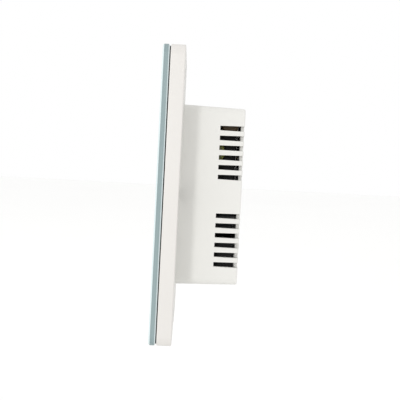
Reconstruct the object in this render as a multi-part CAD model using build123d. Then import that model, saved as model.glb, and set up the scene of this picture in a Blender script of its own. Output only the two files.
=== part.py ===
from build123d import *

import math
import os

# A glass-fronted wall thermostat on a flush wall box, in millimetres.
# The front faces -Y and +Z is up. Y is zero on the wall plane, which is the rear face of the frame,
# and the origin is midway between the two slotted holes for the wall screws.

os.makedirs("parts", exist_ok=True)

# ---------------------------------------------------------------- driving dimensions
PLATE = 86.0  # side of the square front
PLATE_CORNER = 3.0  # corner radius of the square front
GLASS_THICK = 2.0
GLASS_FRONT_SEAM = 0.35  # chamfer on the front edge of the glass
GLASS_REAR_SEAM = 0.25
ADHESIVE_THICK = 0.3
ADHESIVE_INSET = 0.55  # how far the adhesive stays back from the glass edge
RIM_DEPTH = 4.3  # depth of the white frame, from its front face to the wall
RIM_WALL = 1.8
RIM_FRONT_ROUND = 0.25
RIM_REAR_ROUND = 0.35
WEB_THICK = 1.5  # wall of the frame that carries the glass
CLEAR = 0.3  # gap between parts that slide past each other

BOX_WIDTH = 52.0  # rear box at the wall plane, along X
BOX_HEIGHT = 53.6  # rear box at the wall plane, along Z
BOX_DEPTH = 18.5
BOX_DRAFT = 1.55  # degrees, moulding draft of each side
BOX_WALL = 1.8
BACK_WALL = 1.0
BOX_CORNER = 2.0
BOX_INNER_CORNER = 0.8
BOX_REAR_ROUND = 0.5
FLANGE_THICK = 1.8
FLANGE_CORNER = 1.0

VENT_COUNT = 6  # vents in each group
VENT_PITCH = 2.91
VENT_FRONT = 1.35  # height of a vent at its front end
VENT_REAR = 1.6  # height of a vent at the back wall
VENT_GROUP = 13.05  # height of a group's centre above or below the box's centre
VENT_START = 11.2  # where a vent starts, behind the wall plane
VENT_WRAP = 4.5  # how far a vent runs in along the back wall
VENT_REACH = 3.0  # how far a vent is cut in from a side wall's outer face

SCREW_SPACING = 60.0  # wall screws of a standard flush box
SCREW_SLOT_R = 2.25
SCREW_SLOT = 7.4
SCREW_SEAT_R = 4.6
SCREW_SEAT_THICK = 0.9
SEAT_POCKET_DEPTH = 0.7  # room in the frame's web for the head of a wall screw
SEAT_POCKET_GAP = 0.6

# planes across the thickness
RIM_FRONT = -RIM_DEPTH
GLASS_REAR = RIM_FRONT - ADHESIVE_THICK
GLASS_FRONT = GLASS_REAR - GLASS_THICK
WEB_REAR = RIM_FRONT + WEB_THICK
CONTROL_REAR = -0.3
CONTROL_THICK = 1.0
CONTROL_FRONT = CONTROL_REAR - CONTROL_THICK
POWER_FRONT = 2.6  # front face of the power board
POWER_THICK = 1.6
POWER_REAR = POWER_FRONT + POWER_THICK
INNER_BACK = BOX_DEPTH - BACK_WALL  # inner face of the back wall

# pieces that hold the halves and boards together
HOOK_X = 22.0
HOOK_Z = 36.0
HOOK_WIDTH = 6.0
HOOK_THICK = 1.4
HOOK_TIP = -0.25
HOOK_BARB_R = 0.35
HOOK_BARB_Y = -0.75
HOOK_WINDOW_GAP = 0.5  # gap beside a hook in its window
HOOK_BARB_GAP = 0.8  # gap above and below a hook in its window
PRY_WIDTH = 10.0  # notch for a screwdriver in the frame's lower edge
PRY_DEPTH = 1.1
TAPPING_R = 0.8  # shank of the self-tapping board screws
TAPPING_GAP = 0.05
TAPPING_DEPTH = 6.0
BOARD_HOLE_GAP = 0.3
BOARD_SCREW_HEAD_R = 1.5
HEAD_ROUND = 0.45  # edge radius as a share of the head's thickness
RECESS_DEPTH = 0.375  # depth of the cross recess as a share of the head's thickness
RECESS_LENGTH = 1.65
RECESS_WIDTH = 0.375
CONTROL_BOSS_R = 1.9
CONTROL_BOSS_X = 20.9
CONTROL_BOSS_Z = 21.6
CONTROL_SCREW_HEAD = 0.9
CONTROL_SCREW_LENGTH = 3.2
CONTROL_SCREW_FLOOR = 0.4  # web left in front of the hole in a boss
POWER_POST_R = 1.75
POWER_POST_TOP = 22.8  # height of the post above the middle
POWER_POST_SIDE = (21.2, 1.2)  # place of the post at the right
POWER_SCREW_HEAD = 1.0

# boards
CONTROL_WIDTH = 47.0
CONTROL_HEIGHT = 48.4
CONTROL_CORNER = 1.5
POWER_WIDTH = 46.6
POWER_HEIGHT = 48.8
POWER_CORNER = 1.0

# display, its light and the touch keys
LCD_WIDTH = 44.0
LCD_HEIGHT = 29.0
LCD_THICK = 2.0
LCD_Z = 4.5  # height of the display's centre
LCD_LEDGE = 1.6  # contact ledge of the front sheet, above and below the rear sheet
LCD_GAP = 0.1  # gap between the display and the glass
LCD_FRONT = GLASS_REAR + LCD_GAP
LCD_SPLIT = LCD_FRONT + LCD_THICK / 2
LCD_REAR = LCD_FRONT + LCD_THICK
WINDOW_GAP = 0.4
WINDOW_CORNER = 0.6
ADHESIVE_WINDOW_GAP = 1.0
ADHESIVE_WINDOW_CORNER = 1.5
GUIDE_WIDTH = 40.4
GUIDE_HEIGHT = 23.2
GUIDE_CORNER = 0.8
LAMP_WIDTH = 1.2
LAMP_HEIGHT = 2.8
LAMP_GAP = 0.2
LAMP_OFFSET = 6.0
STRIP_LENGTH = 39.0
STRIP_THICK = 1.2
STRIP_OFFSET = 13.7
KEY_COUNT = 4
KEY_PITCH = 11.0
KEY_Z = -16.5
SPRING_R = 2.6
SPRING_WIRE = 0.5
SPRING_WEB_GAP = 0.6
SPRING_ADHESIVE_GAP = 1.0

# parts on the rear of the control board
CHIP_X = -7.0
CHIP_Z = 6.0
CHIP_SIDE = 10.0
CHIP_STANDOFF = 0.1
CHIP_TOP = 1.5
CHIP_CHAMFER = 0.2
LEAD_COUNT = 11
LEAD_PITCH = 0.8
LEAD_LENGTH = 1.2
LEAD_WIDTH = 0.4
LEAD_HEIGHT = 0.6
LEAD_REACH = 0.4  # how far a lead's middle lies beyond the package
BUZZER_PLACE = (12.0, 12.0)
BUZZER_R = 4.8
BUZZER_HEIGHT = 2.2
BUZZER_CHAMFER = 0.3
BUZZER_HOLE_R = 0.7
BUZZER_HOLE_DEPTH = 1.0
HEADER_Z = -8.0
HEADER_COLUMNS = 5
HEADER_PITCH = 2.0
HEADER_WIDTH = 10.0
HEADER_BASE_REAR = 0.1
HEADER_PIN = 0.5
HEADER_PIN_REAR = 2.1
SOCKET_MARGIN = 0.3
SOCKET_FRONT = 0.35
SOCKET_HOLE = 0.7
SOCKET_HOLE_REAR = 2.3
SENSOR_X = 13.0
SENSOR_Z = -22.8
SENSOR_Y = 0.8
SENSOR_SIDE = 2.0
SENSOR_THICK = 1.6
SENSOR_CHAMFER = 0.3
SENSOR_WIRE = 0.4
SENSOR_WIRE_OFFSET = 0.5
SENSOR_WIRE_LENGTH = 2.6

# terminals
TERMINAL_COUNT = 6
TERMINAL_PITCH = 7.2
BLOCK_FRONT = -24.0  # face of the terminal block that the wires enter, in Z
BLOCK_REAR = -13.4
BLOCK_TOP = INNER_BACK - CLEAR  # rear end of the terminal block, in Y
BLOCK_CHAMFER = 0.3
CAVITY_WIDTH = 5.4
CAVITY_FLOOR = 5.2
CAVITY_TOP = 13.5
CAVITY_END = -14.6
CAVITY_GAP = 0.4
CAGE_WIDTH = 5.0
CAGE_WALL = 0.8
CAGE_CHAMFER = 0.3
CAGE_REST = 5.4  # front face of an open cage, in Y
CAGE_HEIGHT = 5.6
CAGE_LENGTH = 6.2
CAGE_MOUTH = -22.4
CAGE_TOP = CAGE_REST + CAGE_HEIGHT
CAGE_Z = CAGE_MOUTH + CAGE_LENGTH / 2
BAR_THICK = 0.8
BAR_WIDTH = 2.6
BAR_GAP = 0.1  # gap between an open cage's rear wall and the bar
BAR_FRONT = CAGE_TOP - CAGE_WALL - BAR_THICK - BAR_GAP
BAR_REAR = BAR_FRONT + BAR_THICK
BAR_PIN_OFFSET = 0.45  # from the rear end of a cavity to the middle of a pin
BAR_PIN_Z = CAVITY_END - BAR_PIN_OFFSET
BAR_PIN_WIDTH = 1.0
BAR_PIN_THICK = 0.8
BAR_PIN_OUT = 0.9  # how far a solder pin stands out of the board
PIN_GAP = 0.2
SHANK_R = 1.25
SHANK_GAP = 0.05
HEAD_R = 2.0
HEAD_THICK = 1.55
HEAD_CHAMFER = 0.2
NECK_R = 1.6
ACCESS_R = 2.3
SHOULDER = 0.7  # web of the block that the screw heads sit on
SLOT_DEPTH = 0.5
SLOT_WIDTH = 0.6
CROSS_DEPTH = 0.9
CROSS_LENGTH = 2.4
WIRE_HOLE = 4.9  # side of each square wire entry
WIRE_OFFSET = 1.5  # from a cage's floor to the middle of a wire
WIRE_Y = CAGE_REST + CAGE_WALL + WIRE_OFFSET

# relay
RELAY_X = (-2.4, 19.6)
RELAY_Z = (4.6, 20.6)
RELAY_TOP = 16.4
RELAY_WALL = 0.8
RELAY_ROUND = 0.5
COIL_Y = 10.4
COIL_Z = 12.6
COIL_X = (0.2, 12.0)
COIL_CHEEK = 0.8
COIL_R = 3.7
CHEEK_R = 4.4
CORE_R = 1.6
CORE_GAP = 0.05
YOKE_X = (-0.9, 13.9)
YOKE_THICK = 1.0
YOKE_HALF = 4.6
YOKE_TOP = 14.6
YOKE_RETURN = (4.8, 5.6)  # the part of the yoke that lies along the board, in Y
YOKE_END = 14.2
ARMATURE_X = 14.6
ARMATURE_PIVOT_Y = 6.6
ARMATURE_THICK = 0.8
ARMATURE_HALF = 4.0
ARMATURE_TOP = 15.2
CONTACT_R = 0.9
CONTACT_Y = 14.4
MOVING_CONTACT = 0.2
FIXED_CONTACT = 0.3
CONTACT_GAP = 0.5
BLADE_THICK = 0.5
BLADE_FOOT = 5.0
BLADE_TOP = 15.5
BLADE_WEB = 15.0
BLADE_LOW = 13.6
BLADE_SPAN = (-3.0, 6.4)  # the blade's ends along Z, from the coil's axis
BLADE_LEG = 0.8
BLADE_TIP = 1.0  # half the width of the blade's tip behind the fixed contact

# other parts on the power board
TRANSFORMER_X = -10.6
TRANSFORMER_Z = 13.4
CORE_HALF = 6.5
CORE_WINDOW = 4.4
CORE_SPAN = (7.2, 13.6)
WINDING_HALF = 4.3
WINDING_ROUND = 1.2
WINDING_TOP = 16.2
BOBBIN_BASE = 7.1
BOBBIN_FLANGE = (13.7, 14.5)
BOBBIN_FLANGE_HALF = 5.2
VARISTOR_PLACE = (21.3, 8.8, 13.1)
VARISTOR_R = 4.2
VARISTOR_THICK = 2.4
DISC_PLACE = (21.3, 14.2, 20.9)
DISC_R = 2.5
DISC_THICK = 2.2
DISC_ROUND = 0.4  # edge radius as a share of the thickness
DISC_LEAD = 0.6
DISC_LEAD_OFFSET = 1.8
FILM_X = (-22.2, -9.4)
FILM_Z = (-11.6, -5.4)
FILM_TOP = 15.4
FILM_CHAMFER = 0.3
LARGE_CAN = (17.2, -7.4, 5.0, 16.7)  # X, Z, radius and rear end
SMALL_CAN = (6.6, -7.6, 4.0, 15.4)
CAN_ROUND = 0.5
CAN_SCORE = 0.3
CAN_SCORE_LENGTH = 1.2  # length of a scored line as a share of the radius
BRIDGE_X = (-17.4, -9.0)
BRIDGE_Z = (-2.8, 3.8)
BRIDGE_STANDOFF = 0.6
BRIDGE_TOP = 3.8
BRIDGE_CHAMFER = 0.4
BRIDGE_LEG = (1.2, 2.2, 1.0)
BRIDGE_LEG_INSET = 1.6
FUSE_PLACE = (-3.4, -3.0)
FUSE_R = 4.1
FUSE_HEIGHT = 7.6
FUSE_ROUND = 0.8


# ---------------------------------------------------------------- small tools
def block(x_span, y_span, z_span):
    """A plain box between three pairs of limits."""
    size = [high - low for low, high in (x_span, y_span, z_span)]
    middle = [(low + high) / 2 for low, high in (x_span, y_span, z_span)]
    return Pos(*middle) * Box(*size)


def about(centre, half):
    """The limits of a span about its centre."""
    return (centre - half, centre + half)


def rounded_block(width, height, y_span, corner, centre=(0, 0)):
    """A plate with round corners, lying across the thickness of the thermostat."""
    front, rear = y_span
    profile = Plane.XZ.offset(-rear) * (Pos(*centre) * RectangleRounded(width, height, corner))
    return extrude(profile, amount=rear - front)


def rod(x, z, radius, y_span):
    """A round bar along the thickness."""
    front, rear = y_span
    return Pos(x, (front + rear) / 2, z) * Rot(90, 0, 0) * Cylinder(radius, rear - front)


def along_x(x_span, y, z, radius):
    """A round bar along the width."""
    return Pos(sum(x_span) / 2, y, z) * Rot(0, 90, 0) * Cylinder(radius, x_span[1] - x_span[0])


def drafted_box(width, height, y_span, corner):
    """A box that narrows towards the rear by the moulding draft; width and height are at the wall plane."""
    sections = []
    for y in y_span:
        narrowing = 2 * y * math.tan(math.radians(BOX_DRAFT))
        outline = RectangleRounded(width - narrowing, height - narrowing, corner)
        sections.append(Plane.XZ.offset(-y) * outline)
    return loft(sections)


def front_edges(shape):
    return shape.faces().sort_by(Axis.Y)[0].edges()


def rear_edges(shape):
    return shape.faces().sort_by(Axis.Y)[-1].edges()


def row(count, pitch):
    """Evenly spaced places about zero."""
    return [(index - (count - 1) / 2) * pitch for index in range(count)]


def pairs(x, z):
    """The four places at plus and minus x and z."""
    return [(side_x, side_z) for side_x in (-x, x) for side_z in (-z, z)]


def save(name, *solids):
    """Write one node; identical loose pieces share it as separate solids."""
    shape = solids[0] if len(solids) == 1 else Compound(children=list(solids))
    shape.label = name
    export_step(shape, f"parts/{name}.step")


TERMINAL_X = row(TERMINAL_COUNT, TERMINAL_PITCH)
KEY_X = row(KEY_COUNT, KEY_PITCH)
SCREW_X = (-SCREW_SPACING / 2, SCREW_SPACING / 2)
HOOK_PLACES = pairs(HOOK_X, HOOK_Z)
CONTROL_BOSSES = pairs(CONTROL_BOSS_X, CONTROL_BOSS_Z)
POWER_POSTS = [(0, POWER_POST_TOP), (-POWER_POST_SIDE[0], POWER_POST_SIDE[1]), POWER_POST_SIDE]
HEADER_PINS = [(x, HEADER_Z + z) for x in row(HEADER_COLUMNS, HEADER_PITCH) for z in row(2, HEADER_PITCH)]


# ---------------------------------------------------------------- front half
def glass_panel():
    """Glass sheet with ground edges, the same size as the frame."""
    sheet = rounded_block(PLATE, PLATE, (GLASS_FRONT, GLASS_REAR), PLATE_CORNER)
    sheet = chamfer(front_edges(sheet), GLASS_FRONT_SEAM)
    return chamfer(rear_edges(sheet), GLASS_REAR_SEAM)


def glass_adhesive():
    """Thin black bonding layer, open at the display and at each touch spring."""
    y_span = (GLASS_REAR, RIM_FRONT)
    side = PLATE - 2 * ADHESIVE_INSET
    layer = rounded_block(side, side, y_span, PLATE_CORNER - ADHESIVE_INSET)
    opening = (LCD_WIDTH + 2 * ADHESIVE_WINDOW_GAP, LCD_HEIGHT + 2 * ADHESIVE_WINDOW_GAP)
    layer -= rounded_block(*opening, y_span, ADHESIVE_WINDOW_CORNER, (0, LCD_Z))
    for x in KEY_X:
        layer -= rod(x, KEY_Z, SPRING_R + SPRING_ADHESIVE_GAP, y_span)
    return layer


def front_cover():
    """White frame: a rim, and a web behind the glass with a display window, bosses and snap hooks."""
    cover = rounded_block(PLATE, PLATE, (RIM_FRONT, 0), PLATE_CORNER)
    cover = fillet(front_edges(cover), RIM_FRONT_ROUND)
    cover = fillet(rear_edges(cover), RIM_REAR_ROUND)
    inner = PLATE - 2 * RIM_WALL
    cover -= rounded_block(inner, inner, (WEB_REAR, 0), PLATE_CORNER - RIM_WALL)
    window = (LCD_WIDTH + 2 * WINDOW_GAP, LCD_HEIGHT + 2 * WINDOW_GAP)
    cover -= rounded_block(*window, (RIM_FRONT, WEB_REAR), WINDOW_CORNER, (0, LCD_Z))
    for x in KEY_X:
        cover -= rod(x, KEY_Z, SPRING_R + SPRING_WEB_GAP, (RIM_FRONT, WEB_REAR))
    for x in SCREW_X:
        cover -= rod(x, 0, SCREW_SEAT_R + SEAT_POCKET_GAP, (WEB_REAR - SEAT_POCKET_DEPTH, WEB_REAR))
    for x, z in CONTROL_BOSSES:
        cover += rod(x, z, CONTROL_BOSS_R, (WEB_REAR, CONTROL_FRONT))
        cover -= rod(x, z, TAPPING_R + TAPPING_GAP, (RIM_FRONT + CONTROL_SCREW_FLOOR, CONTROL_FRONT))
    for x, z in HOOK_PLACES:
        cover += snap_hook(x, z)
    lower_wall = (-PLATE / 2, -PLATE / 2 + RIM_WALL)
    return cover - block(about(0, PRY_WIDTH / 2), (-PRY_DEPTH, 0), lower_wall)


def snap_hook(x, z):
    """A short finger with a rounded barb on the side away from the centre."""
    finger = block(about(x, HOOK_WIDTH / 2), (WEB_REAR, HOOK_TIP), about(z, HOOK_THICK / 2))
    outer = z + math.copysign(HOOK_THICK / 2, z)
    return finger + along_x(about(x, HOOK_WIDTH / 2 - HOOK_WINDOW_GAP), HOOK_BARB_Y, outer, HOOK_BARB_R)


def lcd_glass():
    """Display cell: two sheets of glass, the front one with a contact ledge at top and bottom."""
    x_span = about(0, LCD_WIDTH / 2)
    front = block(x_span, (LCD_FRONT, LCD_SPLIT), about(LCD_Z, LCD_HEIGHT / 2))
    return front + block(x_span, (LCD_SPLIT, LCD_REAR), about(LCD_Z, LCD_HEIGHT / 2 - LCD_LEDGE))


def light_guide():
    """Clear acrylic plate that spreads the light behind the display."""
    guide = block(about(0, GUIDE_WIDTH / 2), (LCD_REAR, CONTROL_FRONT), about(LCD_Z, GUIDE_HEIGHT / 2))
    return chamfer(guide.edges().filter_by(Axis.Y), GUIDE_CORNER)


def backlight_leds():
    """Four side-firing lamps at the ends of the light guide."""
    lamps = []
    middle = (GUIDE_WIDTH + LAMP_WIDTH) / 2 + LAMP_GAP
    for x, z in pairs(middle, LAMP_OFFSET):
        height = about(LCD_Z + z, LAMP_HEIGHT / 2)
        lamps.append(block(about(x, LAMP_WIDTH / 2), (LCD_REAR + LCD_GAP, CONTROL_FRONT), height))
    return lamps


def zebra_strips():
    """Rubber contact strips from the display's ledges to the control board."""
    strips = []
    for offset in (-STRIP_OFFSET, STRIP_OFFSET):
        height = about(LCD_Z + offset, STRIP_THICK / 2)
        strips.append(block(about(0, STRIP_LENGTH / 2), (LCD_SPLIT, CONTROL_FRONT), height))
    return strips


def touch_springs():
    """One coiled spring behind each touch key, as its hollow outline, from the glass to the board."""
    springs = []
    y_span = (GLASS_REAR, CONTROL_FRONT)
    for x in KEY_X:
        springs.append(rod(x, KEY_Z, SPRING_R, y_span) - rod(x, KEY_Z, SPRING_R - SPRING_WIRE, y_span))
    return springs


def control_board():
    """Board with the display, the touch keys and the microcontroller."""
    y_span = (CONTROL_FRONT, CONTROL_REAR)
    board = rounded_block(CONTROL_WIDTH, CONTROL_HEIGHT, y_span, CONTROL_CORNER)
    for x, z in CONTROL_BOSSES:
        board -= rod(x, z, TAPPING_R + BOARD_HOLE_GAP, y_span)
    return board


def board_screw(x, z, seat, head, length):
    """Cross-recessed self-tapping screw; its head faces the rear when length is negative."""
    away = -math.copysign(1, length)
    screw = rod(x, z, BOARD_SCREW_HEAD_R, sorted((seat, seat + away * head)))
    outer = rear_edges(screw) if away > 0 else front_edges(screw)
    screw = fillet(outer, head * HEAD_ROUND)
    screw += rod(x, z, TAPPING_R, sorted((seat, seat + length)))
    for turn in (0, 90):
        recess = Rot(0, turn, 0) * Box(RECESS_LENGTH, 2 * head * RECESS_DEPTH, RECESS_WIDTH)
        screw -= Pos(x, seat + away * head, z) * recess
    return screw


def control_board_screws():
    """Four screws into the frame's bosses, heads to the rear."""
    return [board_screw(x, z, CONTROL_REAR, CONTROL_SCREW_HEAD, -CONTROL_SCREW_LENGTH)
            for x, z in CONTROL_BOSSES]


def microcontroller():
    """Flat chip package with a row of leads on each side."""
    half = CHIP_SIDE / 2
    y_span = (CONTROL_REAR + CHIP_STANDOFF, CONTROL_REAR + CHIP_TOP)
    chip = block(about(CHIP_X, half), y_span, about(CHIP_Z, half))
    chip = chamfer(rear_edges(chip), CHIP_CHAMFER)
    lead_y = CONTROL_REAR + LEAD_HEIGHT / 2
    for offset in row(LEAD_COUNT, LEAD_PITCH):
        for edge in (-half - LEAD_REACH, half + LEAD_REACH):
            chip += Pos(CHIP_X + edge, lead_y, CHIP_Z + offset) * Box(LEAD_LENGTH, LEAD_HEIGHT, LEAD_WIDTH)
            chip += Pos(CHIP_X + offset, lead_y, CHIP_Z + edge) * Box(LEAD_WIDTH, LEAD_HEIGHT, LEAD_LENGTH)
    return chip


def buzzer():
    """Low round piezo sounder with its sound hole."""
    rear = CONTROL_REAR + BUZZER_HEIGHT
    can = rod(*BUZZER_PLACE, BUZZER_R, (CONTROL_REAR, rear))
    can = chamfer(rear_edges(can), BUZZER_CHAMFER)
    return can - rod(*BUZZER_PLACE, BUZZER_HOLE_R, (rear - BUZZER_HOLE_DEPTH, rear))


def pin_header():
    """Two rows of pins that plug the control board into the power board."""
    strip = block(about(0, HEADER_WIDTH / 2), (CONTROL_REAR, HEADER_BASE_REAR), about(HEADER_Z, HEADER_PITCH))
    half = HEADER_PIN / 2
    for x, z in HEADER_PINS:
        strip += block(about(x, half), (HEADER_BASE_REAR, HEADER_PIN_REAR), about(z, half))
    return strip


def air_sensor():
    """Moulded temperature sensor on two leads at the lower edge of the control board."""
    half = SENSOR_WIRE / 2
    body = Pos(SENSOR_X, SENSOR_Y, SENSOR_Z) * Box(SENSOR_SIDE, SENSOR_THICK, SENSOR_SIDE)
    sensor = chamfer(body.edges(), SENSOR_CHAMFER)
    top = SENSOR_Z + SENSOR_WIRE_LENGTH
    for offset in (-SENSOR_WIRE_OFFSET, SENSOR_WIRE_OFFSET):
        wire = about(SENSOR_X + offset, half)
        sensor += block(wire, about(SENSOR_Y, half), (SENSOR_Z, top))
        sensor += block(wire, (CONTROL_REAR, SENSOR_Y + half), (top - SENSOR_WIRE, top))
    return sensor


# ---------------------------------------------------------------- rear half
def rear_housing():
    """Flange and drafted rear box in one moulding, with vents that wrap onto the back."""
    side = PLATE - 2 * RIM_WALL - 2 * CLEAR
    housing = rounded_block(side, side, (-FLANGE_THICK, 0), FLANGE_CORNER)
    shell = drafted_box(BOX_WIDTH, BOX_HEIGHT, (0, BOX_DEPTH), BOX_CORNER)
    housing += fillet(rear_edges(shell), BOX_REAR_ROUND)
    inside = (BOX_WIDTH - 2 * BOX_WALL, BOX_HEIGHT - 2 * BOX_WALL)
    housing -= drafted_box(*inside, (-FLANGE_THICK, INNER_BACK), BOX_INNER_CORNER)
    for x, z in POWER_POSTS:
        housing += rod(x, z, POWER_POST_R, (POWER_REAR, INNER_BACK + BACK_WALL / 2))
        housing -= rod(x, z, TAPPING_R + TAPPING_GAP, (POWER_REAR, POWER_REAR + TAPPING_DEPTH))
    for vent in vents():
        housing -= vent
    for x in SCREW_X:
        housing -= wall_slot(x)
    window = (HOOK_WIDTH / 2 + HOOK_WINDOW_GAP, HOOK_THICK / 2 + HOOK_BARB_GAP)
    for x, z in HOOK_PLACES:
        housing -= block(about(x, window[0]), (-FLANGE_THICK, 0), about(z, window[1]))
    for x in TERMINAL_X:
        half = WIRE_HOLE / 2
        housing -= block(about(x, half), about(WIRE_Y, half), (-BOX_HEIGHT / 2, BLOCK_FRONT - CLEAR))
        housing -= rod(x, CAGE_Z, ACCESS_R, (INNER_BACK, BOX_DEPTH))
    return housing


def vents():
    """Tapered slots through both side walls and round the rear corners."""
    slots = []
    outer = BOX_WIDTH / 2
    front, rear = VENT_FRONT / 2, VENT_REAR / 2
    for group in (-VENT_GROUP, VENT_GROUP):
        for offset in row(VENT_COUNT, VENT_PITCH):
            z = group + offset
            end = BOX_DEPTH + 1
            corners = [(VENT_START, -front), (VENT_START, front), (end, rear), (end, -rear)]
            outline = Plane.YZ * (Pos(0, z) * Polygon(*corners, align=None))
            cutter = extrude(outline, amount=outer + 1) + extrude(outline, amount=-outer - 1)
            keep = block(about(0, outer - VENT_REACH), (0, INNER_BACK), about(z, VENT_REAR))
            keep += block(about(0, outer - VENT_WRAP), (0, end), about(z, VENT_REAR))
            slots.append(cutter - keep)
    return slots


def wall_slot(x):
    """Slotted hole for a wall screw, with a shallow seat for its head."""
    slot = Plane.XZ * (Pos(x, 0) * SlotOverall(SCREW_SLOT, 2 * SCREW_SLOT_R))
    cut = extrude(slot, amount=FLANGE_THICK)
    seat = rod(x, 0, SCREW_SEAT_R, (-FLANGE_THICK, -SCREW_SEAT_THICK))
    wall = block(about(0, BOX_WIDTH / 2), (-FLANGE_THICK, 0), about(0, SCREW_SEAT_R))
    return cut + (seat - wall)


def power_board():
    """Mains board that carries the relay, the supply and the terminals."""
    y_span = (POWER_FRONT, POWER_REAR)
    board = rounded_block(POWER_WIDTH, POWER_HEIGHT, y_span, POWER_CORNER)
    for x, z in POWER_POSTS:
        board -= rod(x, z, TAPPING_R + BOARD_HOLE_GAP, y_span)
    for x in TERMINAL_X:
        hole = (about(x, BAR_PIN_WIDTH / 2 + PIN_GAP), about(BAR_PIN_Z, BAR_PIN_THICK / 2 + PIN_GAP))
        board -= block(hole[0], y_span, hole[1])
    return board


def power_board_screws():
    """Three screws into the posts of the box, heads to the front."""
    return [board_screw(x, z, POWER_FRONT, POWER_SCREW_HEAD, TAPPING_DEPTH) for x, z in POWER_POSTS]


def board_socket():
    """Socket strip that the pin header plugs into."""
    width = about(0, HEADER_WIDTH / 2 + SOCKET_MARGIN)
    socket = block(width, (SOCKET_FRONT, POWER_FRONT), about(HEADER_Z, HEADER_PITCH + SOCKET_MARGIN))
    half = SOCKET_HOLE / 2
    for x, z in HEADER_PINS:
        socket -= block(about(x, half), (SOCKET_FRONT, SOCKET_HOLE_REAR), about(z, half))
    return socket


def terminal_block():
    """Black moulded body with one cavity, wire mouth and screw shaft for each terminal."""
    body = block(about(0, TERMINAL_COUNT * TERMINAL_PITCH / 2), (POWER_REAR, BLOCK_TOP), (BLOCK_FRONT, BLOCK_REAR))
    body = chamfer(rear_edges(body), BLOCK_CHAMFER)
    mouth = WIRE_HOLE / 2
    for x in TERMINAL_X:
        cavity = (CAGE_MOUTH - CAVITY_GAP, CAVITY_END)
        body -= block(about(x, CAVITY_WIDTH / 2), (CAVITY_FLOOR, CAVITY_TOP), cavity)
        body -= block(about(x, mouth), about(WIRE_Y, mouth), (BLOCK_FRONT, CAGE_MOUTH))
        body -= rod(x, CAGE_Z, NECK_R, (CAVITY_TOP, BLOCK_TOP))
        body -= rod(x, CAGE_Z, ACCESS_R, (CAVITY_TOP + SHOULDER, BLOCK_TOP))
        pin = (about(x, BAR_PIN_WIDTH / 2 + PIN_GAP / 2), about(BAR_PIN_Z, BAR_PIN_THICK / 2 + PIN_GAP / 2))
        body -= block(pin[0], (POWER_REAR, CAVITY_FLOOR + PIN_GAP), pin[1])
    return body


def terminal_bars():
    """Fixed contact bar inside each cage, with its solder pin through the board."""
    bars = []
    pin = about(BAR_PIN_Z, BAR_PIN_THICK / 2)
    for x in TERMINAL_X:
        bar = block(about(x, BAR_WIDTH / 2), (BAR_FRONT, BAR_REAR), (CAGE_MOUTH + CLEAR, pin[1]))
        bar += block(about(x, BAR_PIN_WIDTH / 2), (POWER_FRONT - BAR_PIN_OUT, BAR_REAR), pin)
        bars.append(bar)
    return bars


def wire_cage(x):
    """Square clamp that the screw draws up against the bar."""
    half = CAGE_WIDTH / 2
    z_span = (CAGE_MOUTH, CAGE_MOUTH + CAGE_LENGTH)
    cage = block(about(x, half), (CAGE_REST, CAGE_TOP), z_span)
    cage = chamfer(cage.edges().filter_by(Axis.Z), CAGE_CHAMFER)
    cage -= block(about(x, half - CAGE_WALL), (CAGE_REST + CAGE_WALL, CAGE_TOP - CAGE_WALL), z_span)
    return cage - rod(x, CAGE_Z, SHANK_R + SHANK_GAP, (CAGE_TOP - CAGE_WALL, CAGE_TOP))


def terminal_screw(x):
    """Slotted and cross-recessed clamp screw, captive in the block."""
    seat = CAVITY_TOP + SHOULDER + SHANK_GAP
    outer = seat + HEAD_THICK
    head = rod(x, CAGE_Z, HEAD_R, (seat, outer))
    head = chamfer(rear_edges(head), HEAD_CHAMFER)
    screw = head + rod(x, CAGE_Z, SHANK_R, (BAR_REAR + SHANK_GAP, seat))
    screw -= block(about(x, HEAD_R + 1), (outer - SLOT_DEPTH, outer), about(CAGE_Z, SLOT_WIDTH / 2))
    cross = about(CAGE_Z, CROSS_LENGTH / 2)
    return screw - block(about(x, SLOT_WIDTH / 2), (outer - CROSS_DEPTH, outer), cross)


def relay_case():
    """Black cover over the relay's works, open towards the board."""
    case = block(RELAY_X, (POWER_REAR, RELAY_TOP), RELAY_Z)
    case = fillet(rear_edges(case), RELAY_ROUND)
    x_span = (RELAY_X[0] + RELAY_WALL, RELAY_X[1] - RELAY_WALL)
    z_span = (RELAY_Z[0] + RELAY_WALL, RELAY_Z[1] - RELAY_WALL)
    return case - block(x_span, (POWER_REAR, RELAY_TOP - RELAY_WALL), z_span)


def relay_coil():
    """Copper winding between the two cheeks of its bobbin."""
    left, right = COIL_X
    coil = along_x((left + COIL_CHEEK, right - COIL_CHEEK), COIL_Y, COIL_Z, COIL_R)
    coil += along_x((left, left + COIL_CHEEK), COIL_Y, COIL_Z, CHEEK_R)
    coil += along_x((right - COIL_CHEEK, right), COIL_Y, COIL_Z, CHEEK_R)
    return coil - along_x(COIL_X, COIL_Y, COIL_Z, CORE_R + CORE_GAP)


def relay_yoke():
    """Iron core through the coil, and the frame that carries its flux back to the armature."""
    z_span = about(COIL_Z, YOKE_HALF)
    yoke = along_x(YOKE_X, COIL_Y, COIL_Z, CORE_R)
    yoke += block((YOKE_X[0], YOKE_X[0] + YOKE_THICK), (YOKE_RETURN[0], YOKE_TOP), z_span)
    return yoke + block((YOKE_X[0], YOKE_END), YOKE_RETURN, z_span)


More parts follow.
